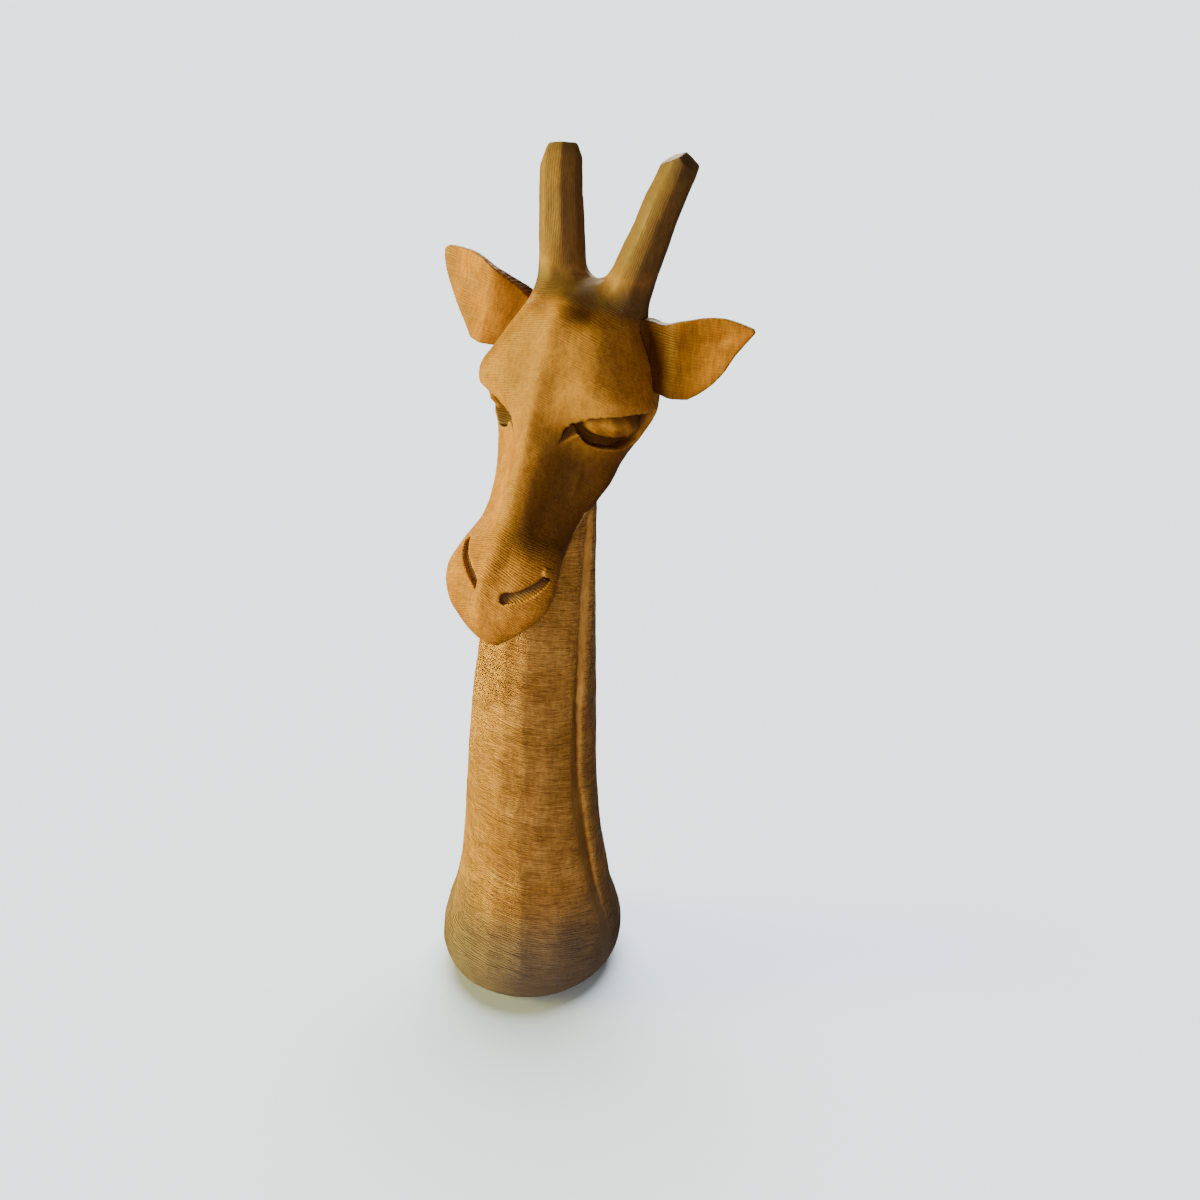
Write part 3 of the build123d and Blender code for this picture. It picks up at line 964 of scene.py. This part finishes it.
def head_tone(points):
    """The crown and horns are darker, and so is the upper face, which painted light lifts in
    places; painted warm shade darkens the hollows. In the order of the tone attribute: darkening,
    grey, warm."""
    x, y, z = points.T
    along, out = to_face(y, z)
    cloud = lattice_noise(points, 17, 10)
    upper = 0.40 * smooth_step(188, 150, along + 4 * cloud) * (1 - skull_share(out, z))
    # Lighter round the left side of the forehead, as painted light over its shade side, and down
    # the right side of the nose, as a painted highlight where the key light falls.
    right_of_nose_highlight = smooth_step(4, -14, x) * smooth_step(70, 100, along)
    upper = upper * smooth_step(66, 38, x) * (1 - 0.8 * right_of_nose_highlight)
    crown = 0.92 * smooth_step(4, -9, along + 3 * cloud) * smooth_step(575, 552, z)
    horns = np.where(x > 0, 0.84, 0.74) * smooth_step(548, 575, z + 8 * cloud)
    tips = 0.25 * smooth_step(628, 640, z)
    # Painted shade in the hollow of the left cheek and beside the peak of the forehead, on the side
    # away from the key light.
    cheek_shade = 0.80 * smooth_step(4, 20, x) * smooth_step(68, 100, along + 5 * cloud)
    cheek_shade = cheek_shade * smooth_step(178, 152, along + 4 * cloud) * smooth_step(-75, -50, out)
    peak_shade = 0.95 * np.exp(-((x - 17) / 12) ** 2 - ((along + 1) / 10) ** 2)
    # Painted shade inside the eyes and nostrils, where they are cut deep.
    depth = -carved_field(x, y, z)
    sunk_shade = smooth_step(2.2, 5.0, depth) * (z > 345)
    nostril_shade = sunk_shade * (along > 140)
    # Painted shade also in the notch of each eye and the low corner of the right one.
    a, b, _ = in_plane(x, y, z, EYE_MIDDLE, EYE_ALONG, EYE_UP, EYE_OUT)
    corner = np.where(x > 0, smooth_step(-22.4, -23.4, a), smooth_step(464, 461, z))
    corner = corner * smooth_step(0.5, 1.4, depth) * (np.abs(b) < 26) * (a < 30)
    # Grey on the crown, and painted shade in the nostrils.
    grey = np.maximum(0.22 * smooth_step(0, -12, along), 0.5 * nostril_shade)
    darkening_and_painted_light = np.clip(np.maximum.reduce([upper, crown, horns]) + tips, 0, 1)
    # Painted shade: the right eye's low corner is darkened.
    darkening_and_painted_light = darkening_and_painted_light + (0.75 - darkening_and_painted_light) * corner * (x < 0)
    eye_shade = np.maximum(0.8 * (sunk_shade - nostril_shade), 0.85 * corner)
    # The warm tone on the head is painted shade.
    warm = np.maximum.reduce([cheek_shade, peak_shade, eye_shade, 0.3 * nostril_shade])
    return np.stack([darkening_and_painted_light, grey, np.clip(warm, 0, 1)], 1)


def head_marks(points):
    """Tool marks are plain on the muzzle and the skull, and mostly scraped away elsewhere."""
    along, out = to_face(points[:, 1], points[:, 2])
    muzzle = smooth_step(140, 172, along + 4 * lattice_noise(points, 20, 11))
    skull = skull_share(out, points[:, 2])
    marks = 0.35 + np.where(muzzle > skull, 0.40 * muzzle, 0.65 * skull)
    horns = 0.12 * smooth_step(HORN_ROOT, HORN_ROOT + 15, points[:, 2])
    return (marks - horns) * smooth_step(1, 9, np.abs(points[:, 2] - HORN_ROOT))


def ear_strokes(points):
    along, up, out = ear_local(*points.T)
    return np.stack([along + 0.15 * up, up, out], 1)


def ear_tone(points, side):
    """The edge is darker than the leaf, and the root carries a painted shadow of the head, more so
    on the left ear.
    """
    along, _, out = ear_local(*points.T)
    # Painted shadow: the root is darkened where the head shades it.
    root = 0.95 * smooth_step(52, -6, along) if side > 0 else 0.6 * smooth_step(12, -10, along)
    dark_edge_and_root_shadow = root + 0.35 * smooth_step(-3.0, -5.5, out)
    none = np.zeros(len(points))
    return np.stack([none, none, np.clip(dark_edge_and_root_shadow, 0, 0.95)], 1)


# ---- making the pieces ---------------------------------------------------------------------

# Size of the cells that each surface is read in.
HEAD_STEP = 1.2
NECK_STEP = 1.5
EAR_STEP = 0.8


def carve(name, field, low, high, step, strokes, tone, marks, material, node):
    """Makes one carved piece from its field between two corners."""
    points, faces = field_surface(field, low, high, step)
    return wooden_piece(name, points, faces, strokes(points), tone(points), marks(points),
                        material, node)


head = carve("head_block_carved", head_field, (-71, -92, 300), (71, 90, 654), HEAD_STEP,
             head_strokes, head_tone, head_marks, HEAD_WOOD, "head_block")
neck = carve("neck_trunk_carved", neck_piece_field, (-74, -80, -3), (74, 86, 420), NECK_STEP,
             neck_strokes, neck_tone, neck_marks, NECK_WOOD, "neck_trunk")
pieces = [head, neck]

EAR_MARKS = 0.8
# Room round each ear's box in the frame for the carved ear: below and behind it there is more.
EAR_ROOM_LOW = (3, 3, 12)
EAR_ROOM_HIGH = (3, 11, 3)
for node, sign in (("left_ear", 1), ("right_ear", -1)):
    low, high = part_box(node)
    low = [c / MM - room for c, room in zip(low, EAR_ROOM_LOW)]
    high = [c / MM + room for c, room in zip(high, EAR_ROOM_HIGH)]
    ear = carve(node + "_carved", lambda x, y, z: ear_field(x, y, z, sign), low, high, EAR_STEP,
                ear_strokes, lambda points: ear_tone(points, sign),
                lambda points: np.full(len(points), EAR_MARKS), EAR_WOOD, node)
    pieces.append(ear)

for node in ("neck_dowel_front", "neck_dowel_rear", "left_ear_pin", "right_ear_pin"):
    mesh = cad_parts[node].data
    mesh.materials.clear()
    mesh.materials.append(DOWEL_WOOD)

# ---- floor, light and camera ---------------------------------------------------------------

BACKDROP_COLOUR = (0.76, 0.82, 0.88, 1)
FLOOR_COLOUR = (0.74, 0.82, 0.91, 1)
FLOOR_HALF = 9.0             # metres


def floor():
    mesh = bpy.data.meshes.new("floor")
    corners = [(-1, -1), (1, -1), (1, 1), (-1, 1)]
    mesh.from_pydata([(FLOOR_HALF * x, FLOOR_HALF * y, 0) for x, y in corners], [], [(0, 1, 2, 3)])
    plane = bpy.data.objects.new("floor", mesh)
    bpy.context.scene.collection.objects.link(plane)
    material = bpy.data.materials.new("floor_paint")
    material.use_nodes = True
    shader = material.node_tree.nodes["Principled BSDF"]
    shader.inputs["Base Color"].default_value = FLOOR_COLOUR
    shader.inputs["Roughness"].default_value = 0.9
    shader.inputs["Specular IOR Level"].default_value = 0.0
    mesh.materials.append(material)
    # The floor doesn't throw its own light back on the wood, as in a studio with flags.
    plane.visible_diffuse = False
    plane.visible_glossy = False
    plane.visible_shadow = False
    return plane


def sun(name, direction, strength, spread, colour):
    """Even light that comes from `direction`, softened over `spread` degrees."""
    light = bpy.data.lights.new(name, "SUN")
    light.energy = strength
    light.angle = math.radians(spread)
    light.color = colour
    lamp = bpy.data.objects.new(name, light)
    bpy.context.scene.collection.objects.link(lamp)
    lamp.rotation_euler = (-Vector(direction)).to_track_quat("-Z", "Y").to_euler()
    return lamp


def light_only(name, direction, strength, spread, colour, receivers):
    """A sun that lights only the receivers."""
    group = bpy.data.collections.new(name + "_receivers")
    for receiver in receivers:
        group.objects.link(receiver)
    lamp = sun(name, direction, strength, spread, colour)
    lamp.light_linking.receiver_collection = group


def studio():
    """Dim even light all round, in front of a pale backdrop."""
    world = bpy.data.worlds.new("studio")
    bpy.context.scene.world = world
    world.use_nodes = True
    nodes = world.node_tree.nodes
    links = world.node_tree.links
    light = nodes["Background"]
    light.inputs["Color"].default_value = (1.0, 0.97, 0.93, 1)
    light.inputs["Strength"].default_value = 0.12
    backdrop = nodes.new("ShaderNodeBackground")
    backdrop.inputs["Color"].default_value = BACKDROP_COLOUR
    backdrop.inputs["Strength"].default_value = 2.4
    choose = nodes.new("ShaderNodeMixShader")
    links.new(nodes.new("ShaderNodeLightPath").outputs["Is Camera Ray"], choose.inputs[0])
    links.new(light.outputs["Background"], choose.inputs[1])
    links.new(backdrop.outputs["Background"], choose.inputs[2])
    links.new(choose.outputs["Shader"], nodes["World Output"].inputs["Surface"])


# The photo's camera: how far round to the giraffe's left it stands, how far out, how high and how
# far to the side, in metres, then how it is tilted, and its lens in millimetres.
CAMERA_TURN = math.radians(31.65)
CAMERA_DISTANCE = 1.2153
CAMERA_HEIGHT = 1.0305
CAMERA_SIDE = 0.0488
CAMERA_PITCH = math.radians(29.53)
CAMERA_ROLL = math.radians(3.0)
CAMERA_LENS = 59.31


def camera():
    data = bpy.data.cameras.new("camera")
    data.sensor_width = 36
    data.lens = CAMERA_LENS
    data.clip_start = 0.01
    view = bpy.data.objects.new("camera", data)
    bpy.context.scene.collection.objects.link(view)
    turn, pitch = CAMERA_TURN, CAMERA_PITCH
    forward = Vector((-math.sin(turn) * math.cos(pitch), math.cos(turn) * math.cos(pitch),
                      -math.sin(pitch)))
    right = Vector((math.cos(turn), math.sin(turn), 0))
    up = right.cross(forward)
    tilted_right = right * math.cos(CAMERA_ROLL) + up * math.sin(CAMERA_ROLL)
    tilted_up = up * math.cos(CAMERA_ROLL) - right * math.sin(CAMERA_ROLL)
    matrix = Matrix((tilted_right, tilted_up, -forward)).transposed().to_4x4()
    matrix.translation = (
        math.sin(turn) * CAMERA_DISTANCE + CAMERA_SIDE,
        -math.cos(turn) * CAMERA_DISTANCE,
        CAMERA_HEIGHT,
    )
    view.matrix_world = matrix
    bpy.context.scene.camera = view


WARM_WHITE = (1.0, 0.97, 0.92)

plane = floor()
sun("key", (-0.80, -0.60, 0.06), 11.0, 36, (1.0, 0.94, 0.27))
sun("fill", (0.35, -1.0, 0.2), 1.5, 60, WARM_WHITE)
light_only("neck_side", (0.60, -0.90, 0.12), 1.4, 50, WARM_WHITE, [neck])
light_only("bounce", (0.95, -0.25, 0.1), 0.32, 60, (1.0, 0.62, 0.2), [head])
light_only("back", (-0.53, 0.85, 0.2), 3.5, 40, (1.0, 0.93, 0.75), pieces)
light_only("floor_wash", (-0.25, 0.35, 1.0), 8.0, 50, (1.0, 1.0, 1.0), [plane])
studio()
camera()
